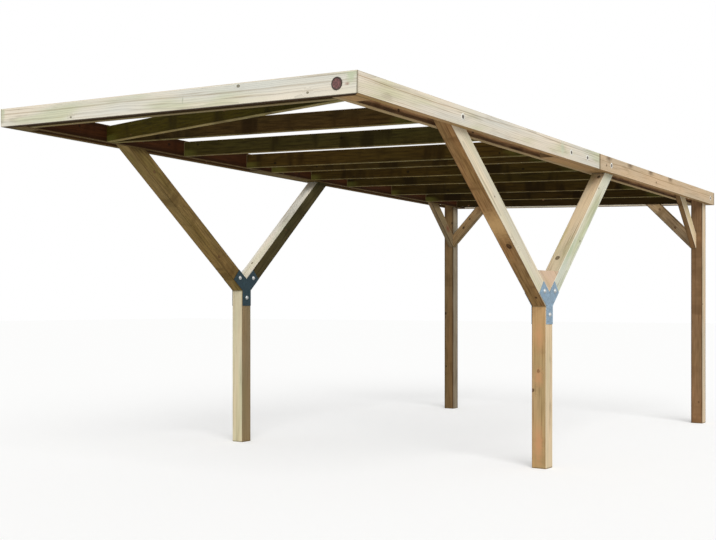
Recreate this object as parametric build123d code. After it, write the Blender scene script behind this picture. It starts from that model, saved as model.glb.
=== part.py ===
from build123d import *
from math import atan2, cos, radians, sin, tan
import os

# Timber carport: an open frame of pressure-treated pine. Two forked front posts and two
# straight rear posts carry twin-plank side beams, and rafters span between the beams.
# Millimetres. X runs from left to right, Y from the front to the rear, Z up from the ground.
# The origin is on the ground under the middle of the roof frame.

# ---- Roof frame ----
ROOF_WIDTH = 2900
ROOF_LENGTH = 6040              # on the centre line
FRONT_LEFT_HEIGHT = 2326        # underside of the roof frame over the front left corner
FALL_TO_RIGHT = 100             # drop of the roof frame from its left edge to its right edge
FALL_TO_REAR = 110              # drop of the roof frame from its front edge to its rear edge

# ---- Timber sections ----
POST_SIDE = 108
PLANK_THICKNESS = 45
PLANK_HEIGHT = 120
RAFTER_THICKNESS = 45
RAFTER_HEIGHT = 110
BRACE_THICKNESS = 50
BRACE_DEPTH = 100
TOP_DROP = 8                    # posts, arms and braces stop this far below the planks' tops
EASED_EDGE = 3                  # chamfer along the long edges of every timber

# ---- Layout along Y, measured back from the front of the roof frame on its centre line ----
OUT_OF_SQUARE = 95              # how much further back rafters, posts and rear end sit at the right
HEADER_STATION = 75             # front face of the board behind the front fascia
FRONT_POST_STATION = 2305       # front face of the front posts
OUTER_JOINT_STATION = 3200      # butt joint in the outer planks
INNER_JOINT_STATION = 2750      # butt joint in the inner planks
SPLICE_BLOCK_STATION = 2480     # front end of the splice blocks
SPLICE_BLOCK_GAP = 2            # between a splice block and the fork arm behind it
END_BLOCK_LENGTH = 150
REAR_POST_SETBACK = 120         # from the rear posts back to the end of the roof frame

# ---- Rafters, counted from the front ----
FIRST_RAFTER_STATION = 835
OVERHANG_RAFTERS = 3            # evenly spaced over the front overhang
OVERHANG_SPACING = 735
FORK_SPACING = 325              # from the last of them to the first middle rafter
MIDDLE_RAFTERS = 3
MIDDLE_SPACING = 555
REAR_RAFTERS = 2                # in front of the tie beam over the rear posts
REAR_SPACING = 655

# ---- Forked front posts ----
LEFT_FORK_HEIGHT = 1261         # top of the left front post
RIGHT_FORK_HEIGHT = 1133        # top of the right front post
FRONT_ARM_PITCH = 39.5          # angles between the fork arms and the ground
REAR_ARM_PITCH = 42.5
ARM_DEPTH = 111
WEDGE_HEIGHT = 145              # block in the V of the right fork

# ---- Steel plates over the fork joints ----
PLATE_THICKNESS = 4
PLATE_MARGIN = 3                # timber left bare along each edge of a plate
PLATE_STEM_LENGTH = 127         # reach of a plate below the joint
PLATE_ARM_LENGTH = 140          # reach of a plate along the lower edge of an arm

# ---- Rear braces ----
BRACE_PITCH = 45                # angle between a rear brace and the ground
BRACE_DROP = 440                # from the roof frame's underside down to a brace's foot

# ---- Round cap on the front fascia ----
CAP_DIAMETER = 70
CAP_THICKNESS = 8
CAP_RECESS = 5
CAP_FROM_RIGHT = 130            # from the right edge of the roof frame to the cap's centre

HALF_WIDTH = ROOF_WIDTH / 2
OVERALL_LENGTH = ROOF_LENGTH + OUT_OF_SQUARE / 2
BEAM_OUTER_INSIDE = HALF_WIDTH - PLANK_THICKNESS
BEAM_INNER_OUTSIDE = BEAM_OUTER_INSIDE - POST_SIDE
BEAM_INNER_INSIDE = BEAM_INNER_OUTSIDE - PLANK_THICKNESS
REAR_POST_STATION = ROOF_LENGTH - REAR_POST_SETBACK - POST_SIDE

SIDES = {"left": -1, "right": 1}
FRONT_ARM = (-1, FRONT_ARM_PITCH)       # direction along Y and pitch
REAR_ARM = (1, REAR_ARM_PITCH)
FORK_HEIGHTS = {"left": LEFT_FORK_HEIGHT, "right": RIGHT_FORK_HEIGHT}


def station(distance):
    """Y of a point this far back from the front of the roof frame."""
    return distance - OVERALL_LENGTH / 2


def cross_station(distance, x):
    """Y where a rafter or post line, this far back on the centre line, crosses a given X."""
    return station(distance) + OUT_OF_SQUARE * x / ROOF_WIDTH


def underside(x, y):
    """Height of the roof frame's underside over a point of the plan."""
    across = (x + HALF_WIDTH) / ROOF_WIDTH
    along = (y - station(0)) / ROOF_LENGTH
    return FRONT_LEFT_HEIGHT - FALL_TO_RIGHT * across - FALL_TO_REAR * along


def eased(timber):
    """Chamfer the long edges of a timber."""
    longest = max(edge.length for edge in timber.edges())
    return chamfer([edge for edge in timber.edges() if edge.length > longest / 2], EASED_EDGE)


def prism(points, direction, length):
    """Extrude a flat polygon along a direction."""
    face = make_face(Polyline(*points, close=True))
    return extrude(face, amount=length, dir=direction)


def roof_timber(plan, height):
    """A timber of the roof frame: a plan outline raised from the frame's underside."""
    return prism([(x, y, underside(x, y)) for x, y in plan], (0, 0, 1), height)


def square_cut(y):
    """A cut across a plank, square to it, as a function that gives its Y at any X."""
    return lambda x: y


def front_end(x):
    """Y of the front edge of the roof frame."""
    return station(0)


def rear_end(x):
    """Y of the rear edge of the roof frame, parallel to the rafters."""
    return cross_station(ROOF_LENGTH, x)


def lengthwise_plank(side, inside, outside, front, rear, mitre_front=0, mitre_rear=0):
    """A beam plank along Y between two cuts, with its ends mitred towards its inner face."""
    outer_x, inner_x = side * outside, side * inside
    plan = [
        (outer_x, front(outer_x)),
        (outer_x, rear(outer_x)),
        (inner_x, rear(inner_x) - mitre_rear),
        (inner_x, front(inner_x) + mitre_front),
    ]
    return roof_timber(plan, PLANK_HEIGHT)


def fascia(end, inward):
    """A full-width board across one end of the roof frame, mitred into the outer planks."""
    plan = [
        (-HALF_WIDTH, end(-HALF_WIDTH)),
        (HALF_WIDTH, end(HALF_WIDTH)),
        (BEAM_OUTER_INSIDE, end(BEAM_OUTER_INSIDE) + inward * PLANK_THICKNESS),
        (-BEAM_OUTER_INSIDE, end(-BEAM_OUTER_INSIDE) + inward * PLANK_THICKNESS),
    ]
    return eased(roof_timber(plan, PLANK_HEIGHT))


def front_fascia():
    """The front board, with a round recess for the cap."""
    return fascia(front_end, 1) - cap(CAP_RECESS)


def cap(thickness):
    """A round cap let into the front fascia by the depth of its recess."""
    x = HALF_WIDTH - CAP_FROM_RIGHT
    y = station(CAP_RECESS)
    z = underside(x, station(0)) + PLANK_HEIGHT / 2
    disc_plane = Plane(origin=(x, y, z), x_dir=(1, 0, 0), z_dir=(0, -1, 0))
    return extrude(disc_plane * Circle(CAP_DIAMETER / 2), amount=thickness)


def outer_planks(side):
    """The two lengths of an outer beam plank, front one first."""
    joint = square_cut(station(OUTER_JOINT_STATION))
    edges = (BEAM_OUTER_INSIDE, HALF_WIDTH)
    front = lengthwise_plank(side, *edges, front_end, joint, mitre_front=PLANK_THICKNESS)
    rear = lengthwise_plank(side, *edges, joint, rear_end, mitre_rear=PLANK_THICKNESS)
    return eased(front), eased(rear)


def inner_planks(side):
    """The two lengths of an inner beam plank, between the fascias, front one first."""
    joint = square_cut(station(INNER_JOINT_STATION))
    edges = (BEAM_INNER_INSIDE, BEAM_INNER_OUTSIDE)
    front_cut = square_cut(station(PLANK_THICKNESS))
    front = lengthwise_plank(side, *edges, front_cut, joint)
    rear = lengthwise_plank(side, *edges, joint, lambda x: rear_end(x) - PLANK_THICKNESS)
    return eased(front), eased(rear)


def beam_block(side, front, rear):
    """A block that fills the space between the two planks of a side beam."""
    edges = (BEAM_INNER_OUTSIDE, BEAM_OUTER_INSIDE)
    return lengthwise_plank(side, *edges, square_cut(front), square_cut(rear))


def end_block(side):
    """The block behind the front fascia."""
    front = station(PLANK_THICKNESS)
    return beam_block(side, front, front + END_BLOCK_LENGTH)


def splice_block(side, fork_height):
    """The block behind the joints of the planks, which ends just before the fork's rear arm."""
    middle_x = beam_middle(side)

    def level(y):
        return underside(middle_x, y)

    direction, pitch = REAR_ARM
    arm_y, _ = climb(fork_middle(side), crotch(fork_height, pitch), direction, pitch, level)
    return beam_block(side, station(SPLICE_BLOCK_STATION), arm_y - SPLICE_BLOCK_GAP)


def cross_board(front_left, front_right):
    """A board across the bay, between the inner planks, from the Y of its front corners."""
    plan = [
        (-BEAM_INNER_INSIDE, front_left),
        (BEAM_INNER_INSIDE, front_right),
        (BEAM_INNER_INSIDE, front_right + RAFTER_THICKNESS),
        (-BEAM_INNER_INSIDE, front_left + RAFTER_THICKNESS),
    ]
    return eased(roof_timber(plan, RAFTER_HEIGHT))


def rafter(distance):
    """A cross board with its front face this far back on the centre line."""
    return cross_board(
        cross_station(distance, -BEAM_INNER_INSIDE), cross_station(distance, BEAM_INNER_INSIDE)
    )


def header():
    """The board behind the front fascia, parallel to it."""
    return cross_board(station(HEADER_STATION), station(HEADER_STATION))


def rafter_stations():
    """Distance of every rafter from the front of the roof frame."""
    overhang = [FIRST_RAFTER_STATION + OVERHANG_SPACING * i for i in range(OVERHANG_RAFTERS)]
    middle = [overhang[-1] + FORK_SPACING + MIDDLE_SPACING * i for i in range(MIDDLE_RAFTERS)]
    rear = [REAR_POST_STATION - REAR_SPACING * i for i in range(REAR_RAFTERS, 0, -1)]
    return overhang + middle + rear


def diagonal_brace():
    """A board laid from corner to corner between the header and the first rafter."""
    front = station(HEADER_STATION + RAFTER_THICKNESS)
    rear = cross_station(FIRST_RAFTER_STATION, -BEAM_INNER_INSIDE)
    angle = atan2(rear - front, 2 * BEAM_INNER_INSIDE)
    width = RAFTER_THICKNESS / cos(angle)
    plan = [
        (-BEAM_INNER_INSIDE, rear - width),
        (-BEAM_INNER_INSIDE, rear),
        (BEAM_INNER_INSIDE, front + width),
        (BEAM_INNER_INSIDE, front),
    ]
    return eased(roof_timber(plan, RAFTER_HEIGHT))


def beam_middle(side):
    """X of the line midway between the two planks of a side beam."""
    return side * (BEAM_OUTER_INSIDE + BEAM_INNER_OUTSIDE) / 2


def timber_top(x, y):
    """Height at which posts, arms and braces end between the beam planks."""
    return underside(x, y) + PLANK_HEIGHT - TOP_DROP


def post_front(side, distance):
    """Y of the front face of a post on the line of a side beam."""
    return cross_station(distance, beam_middle(side))


def post(side, distance, top):
    """A straight square post standing on the line of a side beam."""
    middle_y = post_front(side, distance) + POST_SIDE / 2
    return eased(extrude(Pos(beam_middle(side), middle_y) * Rectangle(POST_SIDE, POST_SIDE), top))


def rear_post(side):
    """A post that runs up between the beam planks."""
    rear_y = post_front(side, REAR_POST_STATION) + POST_SIDE
    return post(side, REAR_POST_STATION, timber_top(beam_middle(side), rear_y))


def climb(start, height, direction, pitch, level):
    """Run and height where a line climbing from a point meets a sloping level."""
    rise = tan(radians(pitch))
    level_rise = level(start + direction) - level(start)
    run = (level(start) - height) / (rise - level_rise)
    return start + direction * run, height + run * rise


def across_x(points, start, end):
    """Extrude an outline of (y, z) points from one X to another."""
    return prism([(start, y, z) for y, z in points], (1, 0, 0), end - start)


def across_y(points, start, end):
    """Extrude an outline of (x, z) points from one Y to another."""
    return prism([(x, start, z) for x, z in points], (0, 1, 0), end - start)


def fork_middle(side):
    """Y of the centre line of a front post and its fork."""
    return post_front(side, FRONT_POST_STATION) + POST_SIDE / 2


def crotch(height, pitch):
    """Height where the upper edge of a fork arm meets the fork's centre line."""
    drop = POST_SIDE / 2 * tan(radians(pitch))
    return height + ARM_DEPTH / cos(radians(pitch)) - drop


def fork_arm(side, height, direction, pitch):
    """An arm from the top of a front post up between the beam planks."""
    middle_x = beam_middle(side)
    middle_y = fork_middle(side)
    foot_y = middle_y + direction * POST_SIDE / 2

    def level(y):
        return timber_top(middle_x, y)

    outline = [
        (middle_y, height),
        (foot_y, height),
        climb(foot_y, height, direction, pitch, level),
        climb(middle_y, crotch(height, pitch), direction, pitch, level),
        (middle_y, crotch(height, pitch)),
    ]
    return eased(across_x(outline, middle_x - POST_SIDE / 2, middle_x + POST_SIDE / 2))


def fork_wedge(side, height):
    """A block in the V of a fork, as wide as its arms, with a level top."""
    middle_x = beam_middle(side)
    middle_y = fork_middle(side)
    bottom = max(crotch(height, FRONT_ARM_PITCH), crotch(height, REAR_ARM_PITCH))
    top = bottom + WEDGE_HEIGHT
    outline = [(middle_y, bottom)]
    for direction, pitch in (FRONT_ARM, REAR_ARM):
        run = (top - crotch(height, pitch)) / tan(radians(pitch))
        outline.append((middle_y + direction * run, top))
    return across_x(outline, middle_x - POST_SIDE / 2, middle_x + POST_SIDE / 2)


def plate_half(direction, pitch):
    """Outline of half a fork plate, from its foot up one arm to the crotch, about the joint."""
    half_width = POST_SIDE / 2 - PLATE_MARGIN
    width = ARM_DEPTH - 2 * PLATE_MARGIN
    along_y, along_z = cos(radians(pitch)), sin(radians(pitch))
    elbow_z = -PLATE_MARGIN * tan(radians(pitch)) + PLATE_MARGIN / along_y
    end_y = half_width + PLATE_ARM_LENGTH * along_y
    end_z = elbow_z + PLATE_ARM_LENGTH * along_z
    crotch_z = crotch(0, pitch) - PLATE_MARGIN / along_y
    points = [
        (half_width, -PLATE_STEM_LENGTH),
        (half_width, elbow_z),
        (end_y, end_z),
        (end_y - width * along_z, end_z + width * along_y),
        (0, crotch_z),
    ]
    return [(direction * y, z) for y, z in points]


def fork_plate(side, height, face_x, direction):
    """A Y-shaped steel plate over the joint of a fork, on the timber face at face_x."""
    *rear_half, rear_crotch = plate_half(*REAR_ARM)
    *front_half, front_crotch = plate_half(*FRONT_ARM)
    lower_crotch = min(front_crotch, rear_crotch, key=lambda point: point[1])
    outline = [*rear_half, lower_crotch, *reversed(front_half)]
    points = [(face_x, fork_middle(side) + y, height + z) for y, z in outline]
    return prism(points, (direction, 0, 0), PLATE_THICKNESS)


def side_brace(side):
    """A brace from a rear post forward and up between the beam planks."""
    inner_x = side * BEAM_INNER_OUTSIDE
    outer_x = inner_x + side * BRACE_THICKNESS
    post_y = post_front(side, REAR_POST_STATION)

    def level(y):
        return timber_top(inner_x, y)

    foot = underside(inner_x, post_y) - BRACE_DROP
    head = foot + BRACE_DEPTH / cos(radians(BRACE_PITCH))
    outline = [
        (post_y, foot),
        climb(post_y, foot, -1, BRACE_PITCH, level),
        climb(post_y, head, -1, BRACE_PITCH, level),
        (post_y, head),
    ]
    return eased(across_x(outline, min(inner_x, outer_x), max(inner_x, outer_x)))


def cross_brace(side):
    """A brace from a rear post inward and up to the underside of the rear tie beam."""
    post_x = side * BEAM_INNER_OUTSIDE
    front_y = post_front(side, REAR_POST_STATION)

    def level(x):
        return underside(x, front_y + BRACE_THICKNESS)

    foot = underside(post_x, front_y) - BRACE_DROP
    head = foot + BRACE_DEPTH / cos(radians(BRACE_PITCH))
    outline = [
        (post_x, foot),
        climb(post_x, foot, -side, BRACE_PITCH, level),
        climb(post_x, head, -side, BRACE_PITCH, level),
        (post_x, head),
    ]
    return eased(across_y(outline, front_y, front_y + BRACE_THICKNESS))


def beam_nodes(name, side):
    """The planks and blocks of one side beam."""
    outer_front, outer_rear = outer_planks(side)
    inner_front, inner_rear = inner_planks(side)
    return {
        f"{name}_outer_plank_front": outer_front,
        f"{name}_outer_plank_rear": outer_rear,
        f"{name}_inner_plank_front": inner_front,
        f"{name}_inner_plank_rear": inner_rear,
        f"{name}_end_block": end_block(side),
        f"{name}_splice_block": splice_block(side, FORK_HEIGHTS[name]),
    }


def fork_nodes(name, side):
    """A front post with its two arms and its two steel plates."""
    height = FORK_HEIGHTS[name]
    return {
        f"{name}_front_post": post(side, FRONT_POST_STATION, height),
        f"{name}_fork_front_arm": fork_arm(side, height, *FRONT_ARM),
        f"{name}_fork_rear_arm": fork_arm(side, height, *REAR_ARM),
        f"{name}_fork_plate_outer": fork_plate(side, height, side * BEAM_OUTER_INSIDE, side),
        f"{name}_fork_plate_inner": fork_plate(side, height, side * BEAM_INNER_OUTSIDE, -side),
    }


def rear_nodes(name, side):
    """A rear post with its two braces."""
    return {
        f"{name}_rear_post": rear_post(side),
        f"{name}_rear_side_brace": side_brace(side),
        f"{name}_rear_cross_brace": cross_brace(side),
    }


def roof_nodes():
    """The boards that run across the bay, and the round cap."""
    nodes = {
        "front_fascia": front_fascia(),
        "front_cap": cap(CAP_THICKNESS),
        "rear_fascia": fascia(rear_end, -1),
        "header": header(),
        "rear_tie_beam": rafter(REAR_POST_STATION),
        "diagonal_brace": diagonal_brace(),
    }
    for number, distance in enumerate(rafter_stations(), start=1):
        nodes[f"rafter_{number}"] = rafter(distance)
    return nodes


def carport():
    """Every piece of the carport by name."""
    nodes = roof_nodes()
    nodes["right_fork_wedge"] = fork_wedge(SIDES["right"], RIGHT_FORK_HEIGHT)
    for name, side in SIDES.items():
        nodes.update(beam_nodes(name, side))
        nodes.update(fork_nodes(name, side))
        nodes.update(rear_nodes(name, side))
    return nodes


os.makedirs("parts", exist_ok=True)
for node_name, solid in carport().items():
    export_step(solid, f"parts/{node_name}.step")
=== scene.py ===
import bmesh
import bpy
import random
from math import cos, pi, radians, sin
from mathutils import Matrix, Vector


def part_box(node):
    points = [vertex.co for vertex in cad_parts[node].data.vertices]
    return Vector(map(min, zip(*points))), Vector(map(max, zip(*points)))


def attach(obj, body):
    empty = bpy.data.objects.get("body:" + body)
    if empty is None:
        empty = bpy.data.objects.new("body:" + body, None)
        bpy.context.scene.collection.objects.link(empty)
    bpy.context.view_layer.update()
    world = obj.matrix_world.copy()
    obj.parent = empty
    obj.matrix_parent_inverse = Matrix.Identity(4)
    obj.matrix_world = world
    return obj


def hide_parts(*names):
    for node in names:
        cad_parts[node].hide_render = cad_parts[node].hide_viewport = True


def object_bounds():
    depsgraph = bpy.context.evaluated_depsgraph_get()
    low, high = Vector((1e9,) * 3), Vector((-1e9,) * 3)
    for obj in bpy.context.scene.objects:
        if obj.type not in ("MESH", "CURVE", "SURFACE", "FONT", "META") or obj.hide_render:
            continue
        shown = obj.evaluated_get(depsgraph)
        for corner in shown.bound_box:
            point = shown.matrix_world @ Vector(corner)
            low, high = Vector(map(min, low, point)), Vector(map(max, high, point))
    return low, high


# Timber carport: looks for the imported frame. Metres, in the frame's own axes: X runs to the
# right, Y from the front to the rear, Z up from the ground.

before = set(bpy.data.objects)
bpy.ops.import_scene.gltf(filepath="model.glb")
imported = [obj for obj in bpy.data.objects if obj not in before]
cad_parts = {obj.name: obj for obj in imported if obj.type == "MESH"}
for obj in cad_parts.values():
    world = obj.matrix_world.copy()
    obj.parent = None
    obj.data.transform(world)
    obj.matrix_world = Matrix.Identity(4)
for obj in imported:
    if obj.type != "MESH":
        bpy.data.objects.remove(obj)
cad_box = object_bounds()


# ---- Colour ----

def linear(red, green, blue):
    """A colour as seen on screen, 0 to 255, as a linear shader colour."""
    channels = []
    for value in (red / 255, green / 255, blue / 255):
        channels.append(value / 12.92 if value <= 0.04045 else ((value + 0.055) / 1.055) ** 2.4)
    return (*channels, 1.0)


def shade(tone, factor):
    """A screen tone made darker or lighter, as a linear shader colour."""
    return linear(*[min(255, factor * value) for value in tone])


# ---- Shader building ----

NORMAL_OUTPUT, OBJECT_OUTPUT = 1, 3     # of the texture coordinate node


class Shader:
    """A material under construction, with short calls for the nodes that it needs."""

    def __init__(self, name):
        self.material = bpy.data.materials.new(name)
        self.material.use_nodes = True
        self.tree = self.material.node_tree
        self.surface = self.tree.nodes["Principled BSDF"]

    def feed(self, socket, value):
        """Link or set one socket."""
        if isinstance(value, bpy.types.NodeSocket):
            self.tree.links.new(value, socket)
        elif value is not None:
            socket.default_value = value

    def add(self, kind, *inputs, output=0, **settings):
        """A node with its inputs in order. None leaves an input as it is."""
        node = self.tree.nodes.new(kind)
        for key, value in settings.items():
            setattr(node, key, value)
        for socket, value in zip(node.inputs, inputs):
            self.feed(socket, value)
        return node.outputs[output]

    def place_in_frame(self):
        """Where a point of the surface is, in the frame's own axes."""
        return self.add("ShaderNodeTexCoord", output=OBJECT_OUTPUT)

    def math(self, operation, a, b=None, c=None):
        """A sum on numbers."""
        return self.add("ShaderNodeMath", a, b, c, operation=operation)

    def vector(self, operation, a, b=None, c=None):
        """A sum on vectors."""
        return self.add("ShaderNodeVectorMath", a, b, c, operation=operation)

    def measure(self, operation, a, b=None):
        """A vector operation that gives a number: a length or a dot product."""
        return self.add("ShaderNodeVectorMath", a, b, operation=operation, output=1)

    def smooth(self, value, start, end):
        """0 before start, 1 after end, smooth between them. Start may be the larger one."""
        if start > end:
            return self.add(
                "ShaderNodeMapRange", value, end, start, 1.0, 0.0, interpolation_type="SMOOTHSTEP"
            )
        return self.add("ShaderNodeMapRange", value, start, end, interpolation_type="SMOOTHSTEP")

    def between(self, value, low, high):
        """A value from 0 to 1 spread from low to high."""
        return self.add("ShaderNodeMapRange", value, 0.0, 1.0, low, high)

    def noise(self, vector, cells, detail):
        """Soft noise from 0 to 1, with this many cells a metre along each axis."""
        stretched = self.vector("MULTIPLY", vector, cells)
        return self.add("ShaderNodeTexNoise", stretched, None, 1.0, detail)

    def mix(self, factor, a, b, blend="MIX"):
        """Two colours blended: the first at factor 0, the second at 1."""
        node = self.tree.nodes.new("ShaderNodeMix")
        node.data_type = "RGBA"
        node.blend_type = blend
        colour_inputs = [socket for socket in node.inputs if socket.type == "RGBA"]
        self.feed(node.inputs["Factor"], factor)
        self.feed(colour_inputs[0], a)
        self.feed(colour_inputs[1], b)
        return next(socket for socket in node.outputs if socket.type == "RGBA")

    def cover(self, colour, tone, where, strength):
        """A colour with another laid over it, where and as strongly as these two say."""
        return self.mix(self.math("MULTIPLY", where, strength), colour, tone)

    def darken(self, colour, tone, where, strength):
        """A colour multiplied by another, where and as strongly as these two say."""
        return self.mix(self.math("MULTIPLY", where, strength), colour, tone, "MULTIPLY")

    def finish(self, colour, roughness, height, depth, **fixed):
        """Wire up the surface, with relief this deep. Fixed values go on its own sockets."""
        self.feed(self.surface.inputs["Base Color"], colour)
        self.feed(self.surface.inputs["Roughness"], roughness)
        for name, value in fixed.items():
            self.surface.inputs[name.replace("_", " ")].default_value = value
        bump = self.tree.nodes.new("ShaderNodeBump")
        bump.inputs["Distance"].default_value = depth
        self.feed(bump.inputs["Height"], height)
        self.feed(self.surface.inputs["Normal"], bump.outputs["Normal"])
        return self.material


# ---- How each timber lies ----

STEEP = 0.9             # upward share of the grain direction that makes a timber upright
PARALLEL = 0.99999      # cosine of the angle between edges that count as parallel


def grain_direction(mesh):
    """The direction that most of a timber's longest edges share."""
    ends = [[mesh.vertices[number].co for number in edge.vertices] for edge in mesh.edges]
    edges = [second - first for first, second in ends]
    longest = max(edge.length for edge in edges)
    directions = [edge.normalized() for edge in edges if edge.length > longest / 2]
    shared = max(
        directions, key=lambda d: sum(abs(d.dot(other)) > PARALLEL for other in directions)
    )
    leading = max(range(3), key=lambda axis: abs(shared[axis]))
    return shared if shared[leading] > 0 else -shared


class Grain:
    """Where a timber lies: along its grain, up and side, from its middle."""

    def __init__(self, node):
        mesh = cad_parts[node].data
        along = grain_direction(mesh)
        reference = Vector((1, 0, 0)) if abs(along.z) > STEEP else Vector((0, 0, 1))
        side = along.cross(reference).normalized()
        axes = (along, side.cross(along), side)
        spans = [[vertex.co.dot(axis) for vertex in mesh.vertices] for axis in axes]
        self.half = Vector([(max(span) - min(span)) / 2 for span in spans])
        self.turn = Matrix(axes)
        self.shift = Vector([-(max(span) + min(span)) / 2 for span in spans])


# ---- Directions, and what a look says ----

RIGHT, LEFT = (1, 0, 0), (-1, 0, 0)
FRONT, BACK = (0, -1, 0), (0, 1, 0)
UP, DOWN = (0, 0, 1), (0, 0, -1)


class Look:
    """How one timber looks. Tones are as seen on screen, and strengths run from 0 to 1.

    faces gives (direction, tone) or (direction, tone, edge tone) where a face differs. These
    face tones paint the light and shade on each face, as lit and shaded copies of one wood.
    knots are (along, across, radius, face): places as shares of half the timber's size, a
    radius in metres, and the axis that the knot runs through, "side" or "up". more_knots is
    how many more are scattered.
    edge is the tone of the arrises, and edge_share its strength. Arrises are painted
    highlight where the edge tone is paler than the face, and painted shade where it is darker.
    green, rings and bands are the strengths of the green tint, growth rings and dark bands.
    line is how far up a grain line runs, as a share of half the height.
    stains are (along, up, half length, half height, tone): places as shares of half the
    timber's size, lengths in metres.
    pale_lit_end_patch is the strength of the green patch low down at each end: paler wood with
    painted light on it.
    edge_width and end_shade_width are how far the arrises and the painted shade at the ends are
    coloured, in metres."""

    def __init__(self, tone, faces=(), knots=(), more_knots=3, knot_tone=(112, 80, 54),
                 edge=(120, 98, 66), edge_share=0.6, green=0.4, rings=0.45, bands=0.0,
                 line=None, stains=(), pale_lit_end_patch=0.0, edge_width=0.008, end_shade_width=0.011):
        self.tone = tone
        self.faces = faces
        self.knots = knots
        self.more_knots = more_knots
        self.knot_tone = knot_tone
        self.edge = edge
        self.edge_share = edge_share
        self.green = green
        self.rings = rings
        self.bands = bands
        self.line = line
        self.stains = stains
        self.pale_lit_end_patch = pale_lit_end_patch
        self.edge_width = edge_width
        self.end_shade_width = end_shade_width


# ---- Timber ----

# Patterns over a timber: cells a metre along, up and across the grain, and levels of detail.
WANDER = ((0.8, 5.0, 5.0), 3.0)             # how the rings wander
WOBBLE = ((60.0, 60.0, 60.0), 1.0)          # the outline of knots
DRIFT = ((1.1, 7.0, 7.0), 3.0)              # from cool to warm along the board
GREEN_TINT = ((1.6, 9.0, 9.0), 2.0)
FIBRES = ((9.0, 420.0, 420.0), 2.0)
STREAKS = ((2.2, 95.0, 95.0), 3.0)
BANDS = ((5.0, 1.5, 1.5), 3.0)              # across the whole board
MOTTLES = ((7.0, 80.0, 80.0), 5.0)
RAGGED = ((70.0, 50.0, 50.0), 2.0)          # the outline of stains
# The next pattern makes the painted highlight and painted shade on the arrises patchy.
EDGE_PATCHINESS = ((5.0, 30.0, 30.0), 3.0)             # along the arrises
DIRT = ((4.0, 16.0, 16.0), 4.0)

# The values at which a pattern or a distance starts to show, and at which it shows in full.
FACING_RANGE = (0.55, 0.8)
SWIRL_RANGE = (4.5, 0.8)
DRIFT_RANGE = (0.3, 0.7)
GREEN_RANGE = (0.45, 0.7)
STREAK_RANGE = (0.5, 0.8)
BAND_RANGE = (0.5, 0.66)
MOTTLE_RANGE = (0.35, 0.75)
PALE_WOOD = (0.55, 0.35)                    # brightness of wood: pale faces have no bands
KNOT_RANGE = (1.25, 0.85)
KNOT_RIM_RANGE = (0.5, 0.95)
STAIN_RANGE = (2.0, 0.5)
# Paler wood with painted light, low at each end:
PALE_LIT_END_RANGE = (0.02, -0.12)
DIRT_RANGE = (0.58, 0.8)
FULL_WIDTH = 0.4                            # share of an edge's or end's width in full colour

# Tones laid over the wood.
GREEN = (226, 236, 212)                     # left by the pressure treatment
COOL, WARM = (238, 240, 240), (255, 246, 236)
STREAK_TONE = (176, 154, 124)
BAND_TONE = (132, 116, 90)
LINE_TONE = (172, 150, 118)
# Painted shade at the ends of each timber, where the timbers meet.
END_SHADE_TONE = (96, 84, 58)
# Paler wood with painted light on it, low at each end.
PALE_LIT_END_TONE = (104, 104, 44)
DIRT_TONE = (150, 140, 118)
LATE_WOOD = 0.72                            # its tone, as a share of the early wood's
KNOT_RIM = 0.5                              # its tone, as a share of the heart's

# Strengths from 0 to 1, and for the last two the weakest and the strongest.
STREAK_SHARE = 0.55
MOTTLE_SHARE = 0.9
STAIN_SHARE = 0.75
KNOT_SHARE = 0.75
KNOT_RIM_SHARE = 0.6
# Strength of the painted shade at the ends:
END_SHADE_SHARE = 0.6
DIRT_SHARE = 0.35
FAINT_LINE = (0.1, 0.9)
# Weakest and strongest painted highlight and painted shade on the arrises:
EDGE_STRENGTHS = (0.4, 1.2)

# Growth rings, knots, the grain line and relief. Lengths are in metres.
RING_SPACING = 0.0075
RING_WANDER = 5.0                           # rings that the grain wanders across
RING_SHARPNESS = 3.0
RINGS_ROUND_KNOT = 4.0
PITH_RISE = (0.6, 1.3)                      # from the middle, as shares of half the size
PITH_ASIDE = (0.9, 2.4)
SHIFTS = (-30, 30)                          # sets each timber's patterns apart
KNOT_SIZES = (0.005, 0.012)                 # radius of a scattered knot
KNOT_SPREAD = (0.15, 0.85)                  # place of each in its share of the length
KNOT_ACROSS = (-0.8, 0.8)
KNOT_LENGTHENING = 1.35                     # knots are longer along the grain
KNOT_WOBBLE = 0.35
LINE_WIDTH = 0.004
LINE_BEND = 0.05
# The patch of paler wood with painted light low at each end:
PALE_LIT_END_RISE = -0.4                       # share of half the height where it is full
PALE_LIT_END_RAGGED = -0.3                     # how far the drift moves its outline
FIBRE_DEPTH = 0.0009
LATE_WOOD_DEPTH = 0.8                       # as a share of the fibres' depth
ROUGHNESS = (0.68, 0.92)
TIMBER_SPECULAR = 0.05


def scattered_knots(grain, count, rng):
    """Knots at random, spread along the timber, in metres from its middle."""
    knots = []
    for number in range(count):
        share = (number + rng.uniform(*KNOT_SPREAD)) / count * 2 - 1
        face = rng.choice(("side", "side", "up"))
        across = grain.half.y if face == "side" else grain.half.z
        knots.append((share * grain.half.x, rng.uniform(*KNOT_ACROSS) * across,
                      rng.uniform(*KNOT_SIZES), face))
    return knots


def placed_knots(grain, look):
    """A look's own knots, in metres from the timber's middle."""
    knots = []
    for along, across, radius, face in look.knots:
        half = grain.half.y if face == "side" else grain.half.z
        knots.append((along * grain.half.x, across * half, radius, face))
    return knots


def knot_spots(knots):
    """Knots as spots: (centre, reach), with a reach of None through the timber."""
    spots = []
    for along, across, radius, face in knots:
        length = radius * KNOT_LENGTHENING
        if face == "side":
            spots.append(((along, across, 0), (length, radius, None)))
        else:
            spots.append(((along, 0, across), (length, None, radius)))
    return spots


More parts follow.
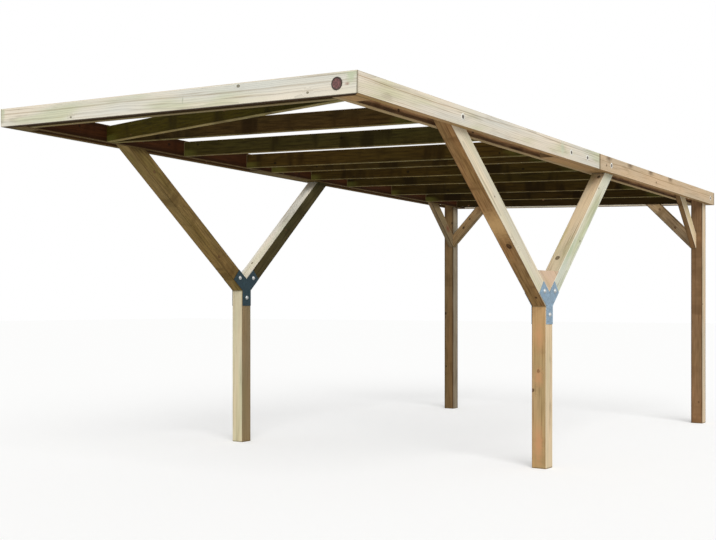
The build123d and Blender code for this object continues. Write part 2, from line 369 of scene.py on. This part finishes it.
class Timber(Shader):
    """Pressure-treated pine, with its grain along the timber."""

    def __init__(self, node, look, seed):
        super().__init__("timber_" + node)
        rng = random.Random(seed)
        grain = Grain(node)
        self.look = look
        self.half = grain.half
        self.place = self.add(
            "ShaderNodeMapping", self.place_in_frame(), grain.shift, grain.turn.to_euler()
        )
        self.along, self.up, self.side = (
            self.add("ShaderNodeSeparateXYZ", self.place, output=axis) for axis in range(3)
        )
        shift = Vector([rng.uniform(*SHIFTS) for _ in range(3)])
        self.shifted = self.vector("ADD", self.place, shift)
        self.pith = Vector((0, rng.choice((-1, 1)) * rng.uniform(*PITH_RISE) * self.half.y,
                            rng.choice((-1, 1)) * rng.uniform(*PITH_ASIDE) * self.half.z))
        self.knots = placed_knots(grain, look) + scattered_knots(grain, look.more_knots, rng)
        self.wander = self.pattern(WANDER)
        self.drift = self.pattern(DRIFT)
        self.streaks = self.pattern(STREAKS)
        if self.knots:
            to_knot = self.nearest(knot_spots(self.knots))
            wobble = self.math("MULTIPLY", self.pattern(WOBBLE), KNOT_WOBBLE)
            self.to_knot = self.math("ADD", to_knot, wobble)

    def pattern(self, kind):
        """One of the patterns above, over this timber."""
        return self.noise(self.shifted, *kind)

    def nearest(self, spots):
        """How far a point is from the nearest spot, as a share of that spot's reach."""
        closest = None
        for centre, reach in spots:
            factors = Vector([0 if extent is None else 1 / extent for extent in reach])
            from_centre = self.vector(
                "MULTIPLY_ADD", self.place, factors, -Vector(centre) * factors
            )
            distance = self.measure("LENGTH", from_centre)
            closest = distance if closest is None else self.math("MINIMUM", closest, distance)
        return closest

    def to_face(self, place, half):
        """How far a point is from the nearer of two opposite faces."""
        return self.math("SUBTRACT", half, self.math("ABSOLUTE", place))

    def late_wood(self):
        """Growth rings about a pith outside the board, bent round the knots."""
        from_pith = self.vector("MULTIPLY_ADD", self.place, (0.0, 1.0, 1.0), -self.pith)
        rings = self.math("DIVIDE", self.measure("LENGTH", from_pith), RING_SPACING)
        rings = self.math("ADD", rings, self.math("MULTIPLY", self.wander, RING_WANDER))
        if self.knots:
            swirl = self.smooth(self.to_knot, *SWIRL_RANGE)
            rings = self.math("ADD", rings, self.math("MULTIPLY", swirl, RINGS_ROUND_KNOT))
        return self.math("POWER", self.math("FRACT", rings), RING_SHARPNESS)

    def face_tones(self):
        """The colours of each face before any grain: early wood, late wood and edges. Each face's
        own tone paints the light and shade on that face.
        """
        look = self.look
        normal = self.add("ShaderNodeTexCoord", output=NORMAL_OUTPUT)
        colour, late, edge = linear(*look.tone), shade(look.tone, LATE_WOOD), linear(*look.edge)
        for direction, tone, *edge_tone in look.faces:
            facing = self.measure("DOT_PRODUCT", normal, Vector(direction).normalized())
            share = self.smooth(facing, *FACING_RANGE)
            colour = self.mix(share, colour, linear(*tone))
            late = self.mix(share, late, shade(tone, LATE_WOOD))
            if edge_tone:
                edge = self.mix(share, edge, linear(*edge_tone[0]))
        return colour, late, edge

    def weathered(self, colour):
        """The tone drifting along the board, then the green tint and the streaks."""
        drift_tone = self.mix(self.smooth(self.drift, *DRIFT_RANGE), linear(*COOL), linear(*WARM))
        colour = self.mix(1.0, colour, drift_tone, "MULTIPLY")
        tint = self.smooth(self.pattern(GREEN_TINT), *GREEN_RANGE)
        colour = self.darken(colour, linear(*GREEN), tint, self.look.green)
        streak = self.smooth(self.streaks, *STREAK_RANGE)
        return self.darken(colour, linear(*STREAK_TONE), streak, STREAK_SHARE)

    def banded(self, colour):
        """Dark bands and mottles, fading out on pale faces."""
        bands = self.smooth(self.pattern(BANDS), *BAND_RANGE)
        mottles = self.smooth(self.pattern(MOTTLES), *MOTTLE_RANGE)
        bands = self.math("MAXIMUM", bands, self.math("MULTIPLY", mottles, MOTTLE_SHARE))
        brightness = self.add("ShaderNodeRGBToBW", colour)
        bands = self.math("MULTIPLY", bands, self.smooth(brightness, *PALE_WOOD))
        return self.darken(colour, linear(*BAND_TONE), bands, self.look.bands)

    def lined(self, colour):
        """One grain line along the board."""
        bend = self.math("MULTIPLY", self.math("SUBTRACT", self.wander, 0.5), LINE_BEND)
        height = self.math("SUBTRACT", self.up, self.look.line * self.half.y)
        height = self.math("ABSOLUTE", self.math("ADD", height, bend))
        on_line = self.smooth(height, LINE_WIDTH, LINE_WIDTH / 4)
        faint = self.between(self.drift, *FAINT_LINE)
        return self.darken(colour, linear(*LINE_TONE), on_line, faint)

    def knotted(self, colour):
        """Knots, each with a darker rim."""
        heart = self.smooth(self.to_knot, *KNOT_RANGE)
        rim = self.math("MULTIPLY", heart, self.smooth(self.to_knot, *KNOT_RIM_RANGE))
        colour = self.cover(colour, linear(*self.look.knot_tone), heart, KNOT_SHARE)
        return self.cover(colour, shade(self.look.knot_tone, KNOT_RIM), rim, KNOT_RIM_SHARE)

    def stained(self, colour):
        """The look's own stains, with a ragged outline."""
        ragged = self.pattern(RAGGED)
        for along, up, half_length, half_height, tone in self.look.stains:
            centre = (along * self.half.x, up * self.half.y, 0)
            distance = self.nearest([(centre, (half_length, half_height, None))])
            stain = self.smooth(self.math("ADD", distance, ragged), *STAIN_RANGE)
            colour = self.cover(colour, linear(*tone), stain, STAIN_SHARE)
        return colour

    def edged(self, colour, edge_colour):
        """Arrises in painted highlight and painted shade, patchy along their length; painted shade
        at the ends; paler wood with painted light low at each end; and dirt.
        """
        look = self.look
        # The arrises take their edge tones: painted highlight and painted shade, patchy along
        # them.
        to_edge = self.math(
            "MAXIMUM", self.to_face(self.up, self.half.y), self.to_face(self.side, self.half.z)
        )
        edge = self.smooth(to_edge, look.edge_width, FULL_WIDTH * look.edge_width)
        patchy = self.between(self.pattern(EDGE_PATCHINESS), *EDGE_STRENGTHS)
        edge = self.math("MULTIPLY", edge, patchy)
        colour = self.cover(colour, edge_colour, edge, look.edge_share)
        # Painted shade at the ends, where the timbers meet.
        to_end = self.to_face(self.along, self.half.x)
        end = self.smooth(to_end, look.end_shade_width, FULL_WIDTH * look.end_shade_width)
        colour = self.cover(colour, linear(*END_SHADE_TONE), end, END_SHADE_SHARE)
        # Paler wood with painted light on it, low down at each end.
        if look.pale_lit_end_patch:
            low = self.smooth(self.up, 0.0, PALE_LIT_END_RISE * self.half.y)
            ragged = self.math("MULTIPLY_ADD", self.drift, PALE_LIT_END_RAGGED, to_end)
            pale_lit_end = self.math("MULTIPLY", self.smooth(ragged, *PALE_LIT_END_RANGE), low)
            colour = self.cover(colour, linear(*PALE_LIT_END_TONE), pale_lit_end, look.pale_lit_end_patch)
        dirt = self.smooth(self.pattern(DIRT), *DIRT_RANGE)
        return self.darken(colour, linear(*DIRT_TONE), dirt, DIRT_SHARE)

    def make(self):
        """The finished material."""
        late_wood = self.late_wood()
        colour, late, edge_colour = self.face_tones()
        colour = self.cover(colour, late, late_wood, self.look.rings)
        colour = self.weathered(colour)
        if self.look.bands:
            colour = self.banded(colour)
        if self.look.line is not None:
            colour = self.lined(colour)
        if self.knots:
            colour = self.knotted(colour)
        if self.look.stains:
            colour = self.stained(colour)
        colour = self.edged(colour, edge_colour)
        relief = self.math("MULTIPLY", late_wood, LATE_WOOD_DEPTH)
        relief = self.math("SUBTRACT", self.pattern(FIBRES), relief)
        roughness = self.between(self.streaks, *ROUGHNESS)
        return self.finish(
            colour, roughness, relief, FIBRE_DEPTH, Specular_IOR_Level=TIMBER_SPECULAR
        )


# ---- Steel and plastic ----

SPANGLES = 90.0                             # crystals a metre
SPANGLE_TONES = (0.84, 1.1)                 # the darkest and the palest crystal
SPANGLE_SPREAD = (0.25, 0.75)
BLOOM = ((28.0, 28.0, 28.0), 4.0)
BLOOM_RANGE = (0.5, 0.8)
BLOOM_TONE = 1.35
BLOOM_SHARE = 0.5
STEEL_ROUGHNESS = (0.35, 0.6)
STEEL_DEPTH = 0.0003
PLASTIC_GRAIN = ((700.0, 700.0, 700.0), 2.0)
SCUFFS = ((110.0, 110.0, 110.0), 4.0)
SCUFF_RANGE = (0.42, 0.62)
SCUFF_TONE = 1.5
PLASTIC_ROUGHNESS = (0.45, 0.7)
PLASTIC_DEPTH = 0.0002


def galvanised(name, tone, metallic=0.55):
    """Hot-dip galvanised steel: faint spangle and dull white bloom."""
    shader = Shader(name)
    place = shader.place_in_frame()
    spangle = shader.add("ShaderNodeTexVoronoi", place, None, SPANGLES, output=1)
    brightness = shader.between(shader.add("ShaderNodeSeparateXYZ", spangle), *SPANGLE_SPREAD)
    colour = shader.mix(brightness, *[shade(tone, factor) for factor in SPANGLE_TONES])
    bloom = shader.noise(place, *BLOOM)
    bloomed = shader.smooth(bloom, *BLOOM_RANGE)
    colour = shader.cover(colour, shade(tone, BLOOM_TONE), bloomed, BLOOM_SHARE)
    roughness = shader.between(bloom, *STEEL_ROUGHNESS)
    return shader.finish(colour, roughness, bloom, STEEL_DEPTH, Metallic=metallic)


def moulded_plastic(name, tone):
    """Matt moulded plastic with a fine grain and faint scuffs."""
    shader = Shader(name)
    place = shader.place_in_frame()
    grain = shader.noise(place, *PLASTIC_GRAIN)
    scuffs = shader.noise(place, *SCUFFS)
    scuffed = shader.smooth(scuffs, *SCUFF_RANGE)
    colour = shader.mix(scuffed, linear(*tone), shade(tone, SCUFF_TONE))
    roughness = shader.between(scuffs, *PLASTIC_ROUGHNESS)
    return shader.finish(colour, roughness, grain, PLASTIC_DEPTH)


# ---- Pieces added to the frame ----

TURNED_SIDES = 24


def turned(name, profile, places, axis, materials):
    """One piece made of a turned shape, repeated at several places. Its profile is
    (radius, height, material number) from the outside in, raised along the axis."""
    mesh_data = bmesh.new()
    turn = Vector(axis).to_track_quat("Z", "Y").to_matrix()
    for place in places:
        previous = None
        for radius, height, number in profile:
            ring = []
            for step in range(TURNED_SIDES if radius else 1):
                angle = 2 * pi * step / TURNED_SIDES
                point = turn @ Vector((radius * cos(angle), radius * sin(angle), height))
                ring.append(mesh_data.verts.new(Vector(place) + point))
            if previous:
                for step in range(TURNED_SIDES):
                    corners = [previous[step], previous[(step + 1) % TURNED_SIDES]]
                    corners += [ring[(step + 1) % TURNED_SIDES], ring[step]] if radius else ring
                    face = mesh_data.faces.new(corners)
                    face.material_index = number
                    face.smooth = True
            previous = ring
    mesh = bpy.data.meshes.new(name)
    mesh_data.to_mesh(mesh)
    mesh_data.free()
    for material in materials:
        mesh.materials.append(material)
    piece = bpy.data.objects.new(name, mesh)
    bpy.context.scene.collection.objects.link(piece)
    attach(piece, "root")
    return piece


# ---- Which look each timber has ----

UNDER_FRONT = (0, -0.64, -0.77)     # under face of a front arm
UPPER_REAR = (0, -0.68, 0.73)       # upper face of a rear arm

# Painted highlight for the arrises of pale boards, then faces that several timbers share:
# direction, tone and edge tone.
ARRIS_HIGHLIGHT = (248, 240, 218)
DARK_TOP = (UP, (158, 132, 92), (112, 88, 54))
DARK_BACK = (BACK, (104, 86, 54), (66, 52, 28))
PALE_BACK = (BACK, (196, 168, 130), (150, 122, 88))
PALE_TOP = (UP, (214, 196, 164), (182, 158, 122))
# Painted light and shade: the tones of the faces seen from the front right are lit and shaded
# copies of each wood. Outer faces of the posts, arms and braces, and the upper faces of the rear
# arms, are painted lit, their inner faces painted shaded, and the front fascia's underside is
# painted shade.
LOOKS = {
    "front_fascia": Look(
        (243, 240, 228), faces=[(DOWN, (70, 48, 24), (38, 24, 8)), PALE_TOP], edge=ARRIS_HIGHLIGHT,
        edge_share=0.85, line=0.3, more_knots=0, knot_tone=(128, 118, 88), rings=0.4, green=0.7,
        knots=[(-0.516, -0.65, 0.007, "side"), (0.442, 0.7, 0.010, "side"),
               (0.778, -0.53, 0.007, "side")],
        stains=[(0.97, 0.5, 0.03, 0.04, (196, 206, 172)),
                (0.955, -0.1, 0.014, 0.008, (150, 104, 84)),
                (-0.985, 0.5, 0.02, 0.06, (188, 196, 164)),
                (0.15, -0.05, 0.006, 0.02, (176, 180, 156))],
    ),
    "rear_fascia": Look(
        (232, 222, 202), faces=[(DOWN, (128, 100, 64), (84, 62, 36)), PALE_TOP], edge=ARRIS_HIGHLIGHT,
        line=-0.2,
    ),
    # The header's and the diagonal brace's dark tones are painted shade.
    "header": Look(
        (66, 52, 24), faces=[(DOWN, (150, 134, 96)), DARK_TOP, DARK_BACK], edge=(48, 34, 14)
    ),
    "diagonal_brace": Look(
        (66, 58, 10), faces=[(DOWN, (172, 158, 108), (120, 108, 60)), DARK_TOP, DARK_BACK],
        edge=(32, 27, 4), bands=0.7, pale_lit_end_patch=0.3, green=0.2,
    ),
    "left_front_post": Look(
        (240, 231, 200), faces=[(RIGHT, (158, 138, 106), (96, 76, 50)), (LEFT, (225, 215, 188))],
        edge=(176, 158, 120), more_knots=0, green=0.3,
    ),
    "right_front_post": Look(
        (206, 173, 127),
        faces=[(RIGHT, (240, 218, 184), (250, 236, 206)), (LEFT, (160, 125, 88))],
        edge=(146, 104, 68), more_knots=1, green=0.3, bands=0.25, knot_tone=(74, 42, 22),
        knots=[(-0.04, -0.85, 0.011, "side")],
        stains=[(-0.7, 0.0, 0.14, 0.035, (206, 152, 110)),
                (0.12, 0.0, 0.07, 0.035, (204, 152, 108)),
                (0.62, 0.1, 0.10, 0.035, (206, 156, 112))],
    ),
    "left_rear_post": Look(
        (137, 110, 76),
        faces=[(RIGHT, (164, 152, 132), (66, 52, 34)), (LEFT, (200, 180, 150)), PALE_BACK],
        edge=(58, 42, 22), edge_share=0.85, edge_width=0.016, bands=0.4,
        knots=[(-0.1, -0.75, 0.014, "side")], knot_tone=(44, 30, 16),
    ),
    "right_rear_post": Look(
        (158, 124, 90), faces=[(RIGHT, (232, 214, 186)), (LEFT, (120, 96, 68)), PALE_BACK],
        edge=(84, 62, 40), edge_share=0.8, edge_width=0.014, bands=0.4,
    ),
    "right_fork_wedge": Look((230, 206, 182), edge=(244, 228, 198), more_knots=0),
    "left_fork_front_arm": Look(
        (164, 138, 88), faces=[(LEFT, (225, 214, 184)), (RIGHT, (148, 122, 76))],
        edge=(84, 66, 36), edge_share=0.7, bands=0.6, green=0.8,
    ),
    "left_fork_rear_arm": Look(
        (82, 75, 48), faces=[(UPPER_REAR, (252, 248, 236), (232, 222, 200)),
                             (LEFT, (225, 214, 184))],
        edge=(26, 21, 8), edge_share=0.9, bands=0.4,
    ),
    "right_fork_front_arm": Look(
        (186, 152, 110), faces=[(UNDER_FRONT, (182, 144, 98), (84, 54, 28)),
                                (RIGHT, (238, 230, 208), (252, 240, 212)),
                                (LEFT, (120, 92, 56), (70, 52, 30))],
        edge=(110, 80, 48), edge_share=0.85, bands=0.7, knots=[(0.31, 0.2, 0.020, "up")],
        knot_tone=(66, 40, 22), stains=[(0.1, -1.0, 0.13, 0.004, (220, 180, 124))],
    ),
    "right_fork_rear_arm": Look(
        (164, 130, 88), faces=[(UPPER_REAR, (226, 210, 180), (178, 160, 124)),
                               (RIGHT, (230, 232, 214), (250, 244, 226)),
                               (LEFT, (110, 84, 50), (66, 48, 28))],
        edge=(140, 112, 74), edge_share=0.8, green=0.9, bands=0.35,
        knots=[(0.62, 0.3, 0.014, "up"), (-0.5, -0.1, 0.018, "up")], knot_tone=(96, 76, 44),
    ),
    "left_rear_side_brace": Look(
        (152, 132, 102), faces=[(LEFT, (200, 180, 150))], edge=(66, 52, 30), edge_share=0.85,
        more_knots=1, stains=[(0.45, 0.2, 0.05, 0.03, (122, 70, 50))], bands=0.3,
    ),
    "left_rear_cross_brace": Look(
        (168, 142, 104), edge=(62, 46, 24), edge_share=0.85, more_knots=1,
        knots=[(-0.2, 0.1, 0.013, "side")], knot_tone=(40, 28, 16), bands=0.5,
        stains=[(0.8, 0.0, 0.10, 0.05, (92, 62, 34))],
    ),
    "right_rear_side_brace": Look(
        (150, 118, 82), faces=[(RIGHT, (240, 220, 186), (250, 236, 208))], edge=(82, 60, 38),
        edge_share=0.85, more_knots=1, bands=0.3,
    ),
    "right_rear_cross_brace": Look(
        (190, 164, 130), edge=(84, 62, 38), edge_share=0.85, bands=0.6
    ),
}

# The side beams and the blocks in them; the inside tone is painted shade. The left beam is
# in deeper shade in the photo, and its painted shade is darker.
for name, outward, shaded_inside, underside, inner_underside in (
    ("left", LEFT, (66, 46, 24), (DOWN, (112, 96, 58), (84, 68, 36)),
     (DOWN, (118, 98, 62), (92, 74, 42))),
    ("right", RIGHT, (150, 112, 74), (DOWN, (184, 152, 108), (124, 92, 58)),
     (DOWN, (184, 160, 120), (174, 150, 110))),
):
    LOOKS[name + "_outer_plank_front"] = Look(
        shaded_inside, faces=[(outward, (240, 235, 222), ARRIS_HIGHLIGHT), underside, PALE_TOP],
        stains=[(-0.93, 1.0, 0.16, 0.007, (96, 78, 56)),
                (0.58, 0.1, 0.03, 0.05, (206, 212, 188))],
        edge_share=0.7, line=0.59, more_knots=1, rings=0.4, green=0.8, edge=(112, 80, 46),
    )
    LOOKS[name + "_outer_plank_rear"] = Look(
        shaded_inside,
        faces=[(outward, (222, 200, 170), (232, 214, 184)), underside, PALE_TOP],
        edge_share=0.6, more_knots=4, green=0.1, line=0.2, bands=0.25, edge=(112, 80, 46),
        stains=[(place, 0.85, 0.06, 0.032, (96, 72, 50)) for place in (-0.87, -0.56, -0.23, 0.11)],
        end_shade_width=0.035,
    )
    # The inner planks' dark tone is painted shade, and their wide dark arrises paint the shadow
    # that falls on them between the planks.
    for part in ("inner_plank_front", "inner_plank_rear"):
        LOOKS[f"{name}_{part}"] = Look(
            (60, 33, 14), edge=(34, 17, 5), green=0.1, bands=0.6, knot_tone=(26, 14, 6),
            faces=[inner_underside, (outward, (178, 138, 98)), DARK_TOP],
            edge_width=0.036, edge_share=1.0,
        )
    for part in ("end_block", "splice_block"):
        LOOKS[f"{name}_{part}"] = Look(
            shaded_inside, faces=[underside, DARK_TOP], edge=(70, 42, 22), more_knots=0
        )

# Painted shade: the rafters' dark tones, darkening from the first rafter to the last.
SHADED_RAFTER_TONES = [(66, 50, 22), (60, 52, 20), (66, 50, 16), (58, 44, 14), (56, 42, 10),
                (52, 40, 9), (50, 37, 8), (44, 32, 6)]
for number, tone in enumerate(SHADED_RAFTER_TONES, start=1):
    LOOKS[f"rafter_{number}"] = Look(
        tone, faces=[(DOWN, (146, 130, 84), (96, 84, 44)), DARK_TOP, DARK_BACK],
        edge=(28, 20, 4), green=0.4, bands=0.8, knot_tone=(20, 13, 4), pale_lit_end_patch=0.3,
    )
# The rear tie beam's near-black tone is painted shade.
LOOKS["rear_tie_beam"] = Look(
    (42, 31, 8), faces=[(DOWN, (78, 62, 32)), DARK_TOP, DARK_BACK], edge=(18, 12, 2), green=0.4,
    bands=0.6,
)


def dress(node, material):
    """Give a CAD node its material."""
    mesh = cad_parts[node].data
    mesh.materials.clear()
    mesh.materials.append(material)


for seed, timber_name in enumerate(sorted(LOOKS), start=1):
    dress(timber_name, Timber(timber_name, LOOKS[timber_name], seed).make())

# The left plates' dark tone is painted shade; the right plates keep the steel's own tone.
STEEL_TONES = {"left": (40, 62, 70), "right": (140, 164, 182)}
steel = {name: galvanised(name + "_steel", tone) for name, tone in STEEL_TONES.items()}
for name in STEEL_TONES:
    for face in ("inner", "outer"):
        dress(f"{name}_fork_plate_{face}", steel[name])
bolt_steel = galvanised("bolt_steel", (198, 200, 198), metallic=0.6)
pale_steel = galvanised("pale_steel", (236, 232, 220), metallic=0.1)
dull_steel = galvanised("dull_steel", (74, 58, 44), metallic=0.1)
rim_plastic = moulded_plastic("rim_plastic", (50, 38, 32))
dish_plastic = moulded_plastic("dish_plastic", (88, 58, 56))


# ---- Round cap, turned to its real section ----

CAP_BEVEL = 0.001           # of the rim's outer corner
CAP_RIM = 0.006             # from the cap's outside to the inner edge of the rim
CAP_DISH = 0.0075           # from the cap's outside to the foot of the dish
CAP_DISH_DEPTH = 0.0022     # at its foot, below the rim
# How the dish rises to its middle: (share of the cap's radius, depth below the rim).
CAP_DISH_RISE = [(0.55, 0.0016), (0.3, 0.001), (0.0, 0.0008)]

low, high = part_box("front_cap")
cap_radius = (high.x - low.x) / 2
cap_depth = high.y - low.y
cap_back = Vector(((low.x + high.x) / 2, high.y, (low.z + high.z) / 2))
cap_profile = [
    (cap_radius, 0.0, 0), (cap_radius, cap_depth - CAP_BEVEL, 0),
    (cap_radius - CAP_BEVEL, cap_depth, 0), (cap_radius - CAP_RIM, cap_depth, 0),
    (cap_radius - CAP_DISH, cap_depth - CAP_DISH_DEPTH, 0),
]
for share, below in CAP_DISH_RISE:
    cap_profile.append((cap_radius * share, cap_depth - below, 1))
cap = turned("front_cap_turned", cap_profile, [cap_back], FRONT, [rim_plastic, dish_plastic])
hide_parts("front_cap")


# ---- Bolts ----

# Each profile is as in turned(): washer, head and tip, from the outside in.
PLATE_BOLT = [(0.0165, 0.0, 0), (0.0165, 0.002, 0), (0.0155, 0.0025, 0), (0.0135, 0.0025, 0),
              (0.0125, 0.0065, 0), (0.0090, 0.0100, 0), (0.0, 0.0115, 0)]
PLATE_BOLT_PLACES = [(-0.084, 0.104), (0.084, 0.106), (0.0, -0.060)]    # about the fork's joint
FLUSH_BOLT = [(0.022, 0.0, 0), (0.0216, 0.0003, 0), (0.0125, 0.0004, 0), (0.0120, 0.0007, 1),
              (0.006, 0.0009, 1), (0.0, 0.001, 1)]
NUT = [(0.015, 0.0, 0), (0.015, 0.002, 0), (0.0095, 0.0022, 0), (0.0095, 0.0085, 0),
       (0.0058, 0.009, 0), (0.0055, 0.013, 0), (0.0, 0.0135, 0)]
BOLT_STATIONS = [1.10, 2.68, 2.97, 3.44, 5.97]      # behind the front of the frame
NUT_STATIONS = [1.10, 2.97, 3.44]                   # where no rafter is in the way
BOLT_RISE = 0.057                                   # above the planks' underside
HEAD_SINK = 0.0001                                  # of a flush bolt's head into the plank


def plank_underside(node, y):
    """Height of a plank's lower edge at a place along it."""
    low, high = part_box(node)
    lowest = {}
    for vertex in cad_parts[node].data.vertices:
        at_front = vertex.co.y < (low.y + high.y) / 2
        if at_front not in lowest or vertex.co.z < lowest[at_front].z:
            lowest[at_front] = vertex.co
    front, rear = lowest[True], lowest[False]
    return front.z + (rear.z - front.z) * (y - front.y) / (rear.y - front.y)


for name, outward in (("left", LEFT), ("right", RIGHT)):
    post_low, post_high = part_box(name + "_front_post")
    joint_y, joint_z = (post_low.y + post_high.y) / 2, post_high.z
    for face, direction in (("outer", Vector(outward)), ("inner", -Vector(outward))):
        plate_low, plate_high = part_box(f"{name}_fork_plate_{face}")
        plate_x = plate_high.x if direction.x > 0 else plate_low.x
        places = [(plate_x, joint_y + y, joint_z + z) for y, z in PLATE_BOLT_PLACES]
        bolts = turned(f"{name}_{face}_plate_bolts", PLATE_BOLT, places, direction, [bolt_steel])
    outer_places, inner_places = [], []
    front_node, rear_node = name + "_outer_plank_front", name + "_outer_plank_rear"
    plank_low, plank_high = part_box(front_node)
    inner_low, inner_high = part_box(name + "_inner_plank_front")
    inner_x = inner_low.x if outward[0] > 0 else inner_high.x
    for station in BOLT_STATIONS:
        y = plank_low.y + station
        node = front_node if y < plank_high.y else rear_node
        z = plank_underside(node, y) + BOLT_RISE
        outer_places.append(((cad_box[1][0] - HEAD_SINK) * outward[0], y, z))
        if station in NUT_STATIONS:
            inner_places.append((inner_x, y, z))
    heads = turned(name + "_plank_bolt_heads", FLUSH_BOLT, outer_places, outward,
                   [pale_steel, dull_steel])
    nuts = turned(name + "_plank_nuts", NUT, inner_places, -Vector(outward), [dull_steel])


# ---- Floor, light and camera ----

CAMERA_FROM_MIDDLE = 4.60       # to the right of the frame's middle
CAMERA_FROM_FRONT = 4.507       # ahead of the frame's front
CAMERA_HEIGHT = 1.14
CAMERA_TURN = 34.9              # degrees to the left
CAMERA_LENS = 54.0              # millimetres, like the sensor
CAMERA_SENSOR = 36.0
CAMERA_SHIFT_UP = 0.0489
FLOOR_REACH = 60.0
FLOOR_TONE = (230, 230, 229)
FLOOR_ROUGHNESS = 0.95
FLOOR_GLOW = 0.30               # brightens the floor for the camera only
SKY_LIGHT = 0.46
KEY_LIGHT = 2.15
KEY_FROM = (0.62, -0.62, 0.62)  # towards the light
KEY_SOFTNESS = 40.0             # degrees across
WHITE = (1.0, 1.0, 1.0, 1.0)


def make_floor():
    """A pale level floor that keeps the object's shadow."""
    mesh = bpy.data.meshes.new("studio_floor")
    reach = FLOOR_REACH
    corners = [(-reach, -reach, 0), (reach, -reach, 0), (reach, reach, 0), (-reach, reach, 0)]
    mesh.from_pydata(corners, [], [(0, 1, 2, 3)])
    floor = bpy.data.objects.new("studio_floor", mesh)
    bpy.context.scene.collection.objects.link(floor)
    shader = Shader("floor_paint")
    shader.feed(shader.surface.inputs["Base Color"], linear(*FLOOR_TONE))
    shader.feed(shader.surface.inputs["Roughness"], FLOOR_ROUGHNESS)
    shader.feed(shader.surface.inputs["Specular IOR Level"], 0.0)
    shader.feed(shader.surface.inputs["Emission Color"], WHITE)
    to_camera = shader.add("ShaderNodeLightPath")
    glow = shader.math("MULTIPLY", to_camera, FLOOR_GLOW)
    shader.feed(shader.surface.inputs["Emission Strength"], glow)
    mesh.materials.append(shader.material)


def make_sky():
    """Plain soft light all round, seen as white."""
    world = bpy.data.worlds.new("studio")
    bpy.context.scene.world = world
    world.use_nodes = True
    tree = world.node_tree
    background = tree.nodes["Background"]
    background.inputs["Color"].default_value = WHITE
    path = tree.nodes.new("ShaderNodeLightPath")
    seen = path.outputs["Is Camera Ray"]
    for other in ("Is Glossy Ray", "Is Transmission Ray"):
        either = tree.nodes.new("ShaderNodeMath")
        either.operation = "MAXIMUM"
        tree.links.new(seen, either.inputs[0])
        tree.links.new(path.outputs[other], either.inputs[1])
        seen = either.outputs[0]
    strength = tree.nodes.new("ShaderNodeMapRange")
    tree.links.new(seen, strength.inputs["Value"])
    strength.inputs["To Min"].default_value = SKY_LIGHT
    strength.inputs["To Max"].default_value = 1.0
    tree.links.new(strength.outputs["Result"], background.inputs["Strength"])


def make_key_light():
    """One soft sun from the front right."""
    light = bpy.data.lights.new("key", "SUN")
    light.energy = KEY_LIGHT
    light.angle = radians(KEY_SOFTNESS)
    lamp = bpy.data.objects.new("key", light)
    lamp.rotation_euler = Vector(KEY_FROM).to_track_quat("Z", "Y").to_euler()
    bpy.context.scene.collection.objects.link(lamp)


def make_camera():
    """The photo's point of view."""
    data = bpy.data.cameras.new("camera")
    data.lens = CAMERA_LENS
    data.sensor_width = CAMERA_SENSOR
    data.shift_y = CAMERA_SHIFT_UP
    camera = bpy.data.objects.new("camera", data)
    camera.location = (CAMERA_FROM_MIDDLE, cad_box[0][1] - CAMERA_FROM_FRONT, CAMERA_HEIGHT)
    camera.rotation_euler = (pi / 2, 0.0, radians(CAMERA_TURN))
    bpy.context.scene.collection.objects.link(camera)
    bpy.context.scene.camera = camera


make_floor()
make_sky()
make_key_light()
make_camera()
bpy.context.scene.view_settings.view_transform = "Standard"
